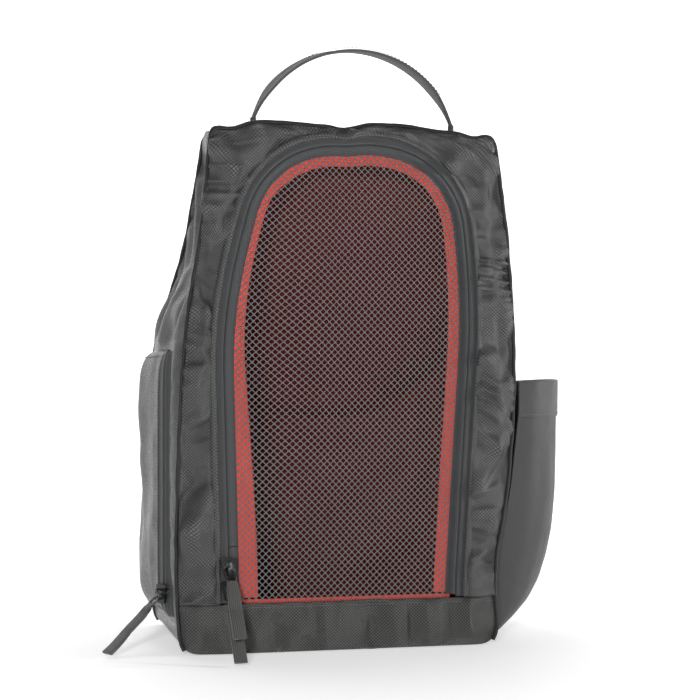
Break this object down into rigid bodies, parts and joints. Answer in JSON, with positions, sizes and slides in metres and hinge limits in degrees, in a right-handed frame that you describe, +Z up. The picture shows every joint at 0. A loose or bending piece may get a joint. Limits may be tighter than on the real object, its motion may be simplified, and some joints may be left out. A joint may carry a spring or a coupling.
{
  "type": "shoe bag",
  "caption": "Upright fabric shoe bag with a zipped mesh window that folds down, a carrying handle on its ridge, an open bottle pocket on one side and a zipped pocket on the other.",
  "frame": {"origin": "middle of the base's underside, between the two gussets and the front and back faces", "axes": "+Z up, the mesh window faces -Y, +X towards the bottle pocket"},
  "size_m": [0.3523, 0.2095, 0.431],
  "materials": {
    "shell_fabric": "charcoal polyester with a fine diamond weave",
    "pocket_fabric": "smooth charcoal stretch fabric with a fine twill",
    "lining_fabric": "red-orange plain woven lining",
    "red_binding": "red-orange woven binding",
    "mesh_fabric": "light grey knitted mesh with hexagonal holes",
    "zip_tape": "dark grey woven zip tape",
    "zip_coil": "black nylon coil",
    "slider_metal": "glossy black enamel",
    "webbing": "grey ribbed webbing",
    "piping": "black bound piping",
    "board": "plain stiffener board"
  },
  "bodies": {
    "shell": {"front_frame": "shell_fabric", "front_band": "shell_fabric", "front_lining": "lining_fabric", "band_binding": "red_binding", "frame_zip_tape": "zip_tape", "frame_zip_coil": "zip_coil", "left_gusset": "shell_fabric", "right_gusset": "shell_fabric", "top_panel": "shell_fabric", "base_panel": "shell_fabric", "back_panel": "shell_fabric", "left_lining": "lining_fabric", "right_lining": "lining_fabric", "top_lining": "lining_fabric", "back_lining": "lining_fabric", "base_board": "board", "base_lining": "lining_fabric", "front_piping": "piping", "back_piping": "piping", "bottle_pocket": "pocket_fabric", "bottle_pocket_hem": "pocket_fabric", "zip_pocket_panel": "shell_fabric", "pocket_zip_front_tape": "zip_tape", "pocket_zip_back_tape": "zip_tape", "pocket_zip_coils": "zip_coil", "handle_anchors": "webbing"},
    "window_flap": {"flap_zip_tape": "zip_tape", "flap_zip_coil": "zip_coil", "mesh_window": "mesh_fabric", "window_binding": "red_binding"},
    "upper_slider": {"upper_slider": "slider_metal"},
    "upper_pull": {"upper_pull": "slider_metal", "upper_pull_tab": "webbing"},
    "lower_slider": {"lower_slider": "slider_metal"},
    "lower_pull": {"lower_pull": "slider_metal", "lower_pull_tab": "webbing"},
    "pocket_slider": {"pocket_slider": "slider_metal"},
    "pocket_pull": {"pocket_pull": "slider_metal", "pocket_pull_tab": "webbing"},
    "handle": {"handle": "webbing"}
  },
  "joints": [
    {"name": "window_flap_hinge", "type": "hinge", "parent": "shell", "child": "window_flap", "pos_m": [0, -0.0782, 0.037], "axis": [1, 0, 0], "range_deg": [0, 95]},
    {"name": "upper_slider_slide", "type": "slide", "parent": "shell", "child": "upper_slider", "axis": [-0.0213, 0.0269, 0.9994], "range_m": [0, 0.13]},
    {"name": "lower_slider_slide", "type": "slide", "parent": "shell", "child": "lower_slider", "axis": [-0.0213, 0.0269, 0.9994], "range_m": [0, 0.13]},
    {"name": "upper_pull_hinge", "type": "hinge", "parent": "upper_slider", "child": "upper_pull", "pos_m": [-0.08251, -0.08304, 0.06013], "axis": [-0.9998, -0.0006, -0.0213], "range_deg": [0, 100]},
    {"name": "lower_pull_hinge", "type": "hinge", "parent": "lower_slider", "child": "lower_pull", "pos_m": [-0.08217, -0.08347, 0.04413], "axis": [-0.9998, -0.0006, -0.0213], "range_deg": [0, 100]},
    {"name": "pocket_slider_slide", "type": "slide", "parent": "shell", "child": "pocket_slider", "axis": [0, 0, 1], "range_m": [0, 0.155]},
    {"name": "pocket_pull_hinge", "type": "hinge", "parent": "pocket_slider", "child": "pocket_pull", "pos_m": [-0.12802, -0.04926, 0.039], "axis": [-0.4472, 0.8944, 0], "range_deg": [0, 100]},
    {"name": "handle_swing", "type": "hinge", "parent": "shell", "child": "handle", "pos_m": [0, -0.05397, 0.376], "axis": [1, 0, 0], "range_deg": [-55, 55]}
  ],
  "couplings": [
    {"joint": "lower_slider_slide", "follows": "upper_slider_slide", "ratio": 1},
    {"joint": "lower_pull_hinge", "follows": "upper_pull_hinge", "ratio": 1}
  ]
}
